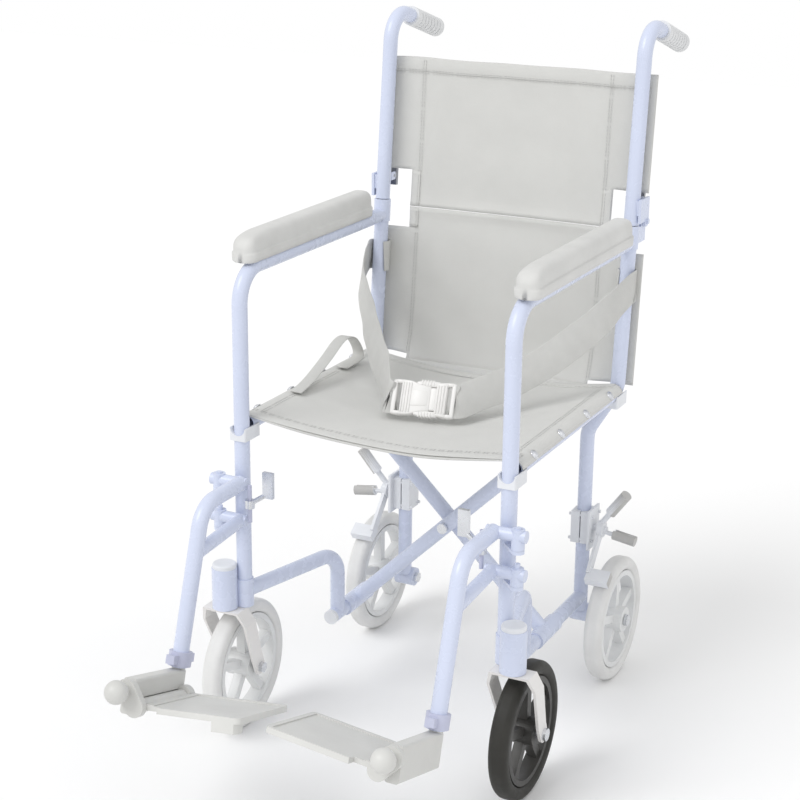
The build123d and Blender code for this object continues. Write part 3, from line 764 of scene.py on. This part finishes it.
def make_belt():
    """Two straps from the rear posts to the buckle, and a webbing loop at the right edge of the seat."""
    z = BELT_HEIGHT
    across = tuple(BUCKLE_ACROSS)
    # share of the way to the buckle, outward bulge, drop and direction across the webbing
    course = ((0.16, 0.013, -0.001, (0.02, 0.20, 0.97)), (0.32, 0.013, -0.010, (0, 0.30, 0.95)),
              (0.52, 0.007, -0.020, (0, 0.42, 0.90)), (0.72, 0.001, -0.019, (0, 0.50, 0.86)),
              (0.88, 0.0, -0.008, across))
    for name, side in SIDES:
        start = Vector((side * (HALF + 0.0140), cane_axis(z) - 0.012, z - 0.001))
        end = BUCKLE_AT + BUCKLE_ALONG * side * 0.052
        run = end - start
        points = belt_wrap(side, z)
        points.append((*start, 0, 0.12, 0.99))
        for t, out, drop, turn in course:
            p = start + run * t
            points.append((p.x + side * out, p.y - out * 0.4, p.z + drop, *turn))
        points.append((*end, *across))
        points.append((*(BUCKLE_AT + BUCKLE_ALONG * side * 0.041), *across))
        belt = mesh_object("lap_belt_" + name, *ribbon(points, BELT_WIDE, BELT_THICK, 8, 0.0022),
                           M["webbing"])
        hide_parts("seat_belt")
        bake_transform(belt)
    x = -HALF + 0.014
    f = FRONT
    loop = [
        (x, f + 0.130, SEAT + 0.0155, 1, 0, 0), (x + 0.001, f + 0.165, SEAT + 0.024, 1, 0, 0),
        (x, f + 0.225, SEAT + 0.045, 1, 0.1, 0), (x - 0.001, f + 0.272, SEAT + 0.061, 1, 0.1, 0),
        (x, f + 0.298, SEAT + 0.058, 1, 0, 0), (x + 0.001, f + 0.316, SEAT + 0.042, 1, 0, 0),
        (x + 0.002, f + 0.322, SEAT + 0.026, 1, 0, 0), (x + 0.002, f + 0.310, SEAT + 0.0175, 1, 0, 0),
        (x + 0.001, f + 0.270, SEAT + 0.0160, 1, 0, 0),
    ]
    tab = mesh_object("seat_loop", *ribbon(loop, LOOP_WIDE, LOOP_THICK, 8, 0.001), M["webbing"])
    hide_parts("seat_belt")
    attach(tab, "brace_b")


make_belt()


def buckle_block(u0, u1, widths, height, centre_v=0.0, lift=0.0, corner=0.0025):
    """Moulded block along the buckle's long axis; widths are its widths at even steps from u0 to u1."""
    rings = []
    inner = [u0 + (u1 - u0) * k / (len(widths) - 1) for k in range(1, len(widths) - 1)]
    for u in sorted((u0, u0 + 0.0009, u1 - 0.0009, u1, *inner)):
        t = (u - u0) / (u1 - u0) * (len(widths) - 1)
        i = min(int(t), len(widths) - 2)
        width = widths[i] + (widths[i + 1] - widths[i]) * (t - i)
        shrink = 0.0009 if u in (u0, u1) else 0.0
        radius = min(corner, height / 2 - 0.0001) - shrink * 0.6
        section = rounded(width - 2 * shrink, height - 2 * shrink, max(radius, 0.0002), 3)
        middle = BUCKLE_AT + BUCKLE_ALONG * u + BUCKLE_ACROSS * centre_v + BUCKLE_FACE * lift
        rings.append([middle + BUCKLE_ACROSS * v + BUCKLE_FACE * w for v, w in section])
    return loft(rings)


def make_buckle():
    """Side-release buckle: a ribbed female half, two sprung arms and a ribbed male half with webbing bars."""
    pieces = [
        buckle_block(-0.046, -0.040, (0.050, 0.052), 0.009),
        buckle_block(-0.033, 0.010, (0.052, 0.050, 0.040, 0.036), 0.012),
        buckle_block(0.008, 0.020, (0.034, 0.034), 0.010),
        buckle_block(0.018, 0.034, (0.048, 0.052), 0.012),
        buckle_block(0.040, 0.046, (0.052, 0.050), 0.009),
        buckle_block(-0.018, 0.006, (0.024, 0.020), 0.0016, 0, 0.0062, 0.0007),
    ]
    for v in (-1, 1):
        pieces.append(buckle_block(-0.042, -0.030, (0.006, 0.006), 0.010, v * 0.0230))
        pieces.append(buckle_block(0.031, 0.043, (0.006, 0.006), 0.010, v * 0.0230))
        pieces.append(buckle_block(-0.012, 0.022, (0.005, 0.009, 0.009, 0.008), 0.010, v * 0.0222))
        for k in range(5):
            u = -0.004 + 0.0042 * k
            rib = buckle_block(u - 0.0012, u + 0.0012, (0.0080, 0.0080), 0.0124, v * 0.0236, 0, 0.001)
            pieces.append(rib)
    for start, width in ((-0.031, 0.044), (0.0205, 0.042)):
        for k in range(4):
            u = start + 0.0040 * k
            pieces.append(buckle_block(u - 0.0011, u + 0.0011, (width, width), 0.0024, 0, 0.0062, 0.0010))
    clip = mesh_object("buckle_clip", *merged(pieces), M["buckle"])
    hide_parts("buckle")
    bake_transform(clip)


make_buckle()


# ---- finishes of the small parts ------------------------------------------------------------------------
for node_name, finish in (("release_lever", "dark_steel"), ("hanger_clamp", "collar"),
                          ("footrest_block", "knob_plastic"), ("footplate", "plate_plastic")):
    for side_name, _ in SIDES:
        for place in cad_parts[f"{node_name}_{side_name}"].material_slots:
            place.material = M[finish]


# the grips are the outer ends of the brake levers
GRIP_FROM = 0.030
for name, _ in SIDES:
    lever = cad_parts["brake_lever_" + name].data
    inner = min(abs(v.co.x) for v in lever.vertices)
    lever.materials.append(M["brake_grip"])
    for polygon in lever.polygons:
        if abs(polygon.center.x) > inner + GRIP_FROM:
            polygon.material_index = len(lever.materials) - 1


# ---- floor and light ------------------------------------------------------------------------------------
WORLD, KEY, FILL = 0.80, 1.2, 0.35


def make_floor():
    """Wide pale floor just under the wheels."""
    s = Shader("floor", 0.9, 0.0, 0.1)
    s.colour(s.noise(1.5, 2), ((0.3, (244, 244, 244)), (0.7, (246, 246, 246))))
    s.bump((s.noise(300, 2), 0.03, 0.0003))
    steps = 12
    size = 14.0
    verts, faces = [], []
    for j in range(steps + 1):
        for i in range(steps + 1):
            verts.append((-size / 2 + size * i / steps, -size / 2 + size * j / steps, -0.0003))
    for j in range(steps):
        for i in range(steps):
            a = j * (steps + 1) + i
            faces.append((a, a + 1, a + steps + 2, a + steps + 1))
    floor = mesh_object("floor", verts, faces, s.material, False)


def make_light():
    """White background, even light from all sides, and two suns."""
    world = bpy.data.worlds.new("world")
    bpy.context.scene.world = world
    world.use_nodes = True
    tree = world.node_tree
    background = tree.nodes["Background"]
    path = tree.nodes.new("ShaderNodeLightPath")
    seen = tree.nodes.new("ShaderNodeMath")
    seen.operation = "MAXIMUM"
    tree.links.new(path.outputs["Is Camera Ray"], seen.inputs[0])
    tree.links.new(path.outputs["Is Transmission Ray"], seen.inputs[1])
    level = tree.nodes.new("ShaderNodeMapRange")
    level.inputs["To Min"].default_value = WORLD
    level.inputs["To Max"].default_value = 1.0
    tree.links.new(seen.outputs[0], level.inputs["Value"])
    tree.links.new(level.outputs["Result"], background.inputs["Strength"])
    background.inputs["Color"].default_value = (1, 1, 1, 1)
    for name, power, angle, turn in (("key", KEY, 0.6, (0.75, 0.0, -0.55)),
                                     ("fill", FILL, 1.2, (1.0, 0.0, 0.9))):
        data = bpy.data.lights.new(name, "SUN")
        data.energy = power
        data.angle = angle
        lamp = bpy.data.objects.new(name, data)
        lamp.rotation_euler = turn
        bpy.context.scene.collection.objects.link(lamp)


make_floor()
make_light()
scene = bpy.context.scene
scene.view_settings.view_transform = "Standard"
scene.view_settings.look = "None"
scene.view_settings.exposure = 0
scene.view_settings.gamma = 1
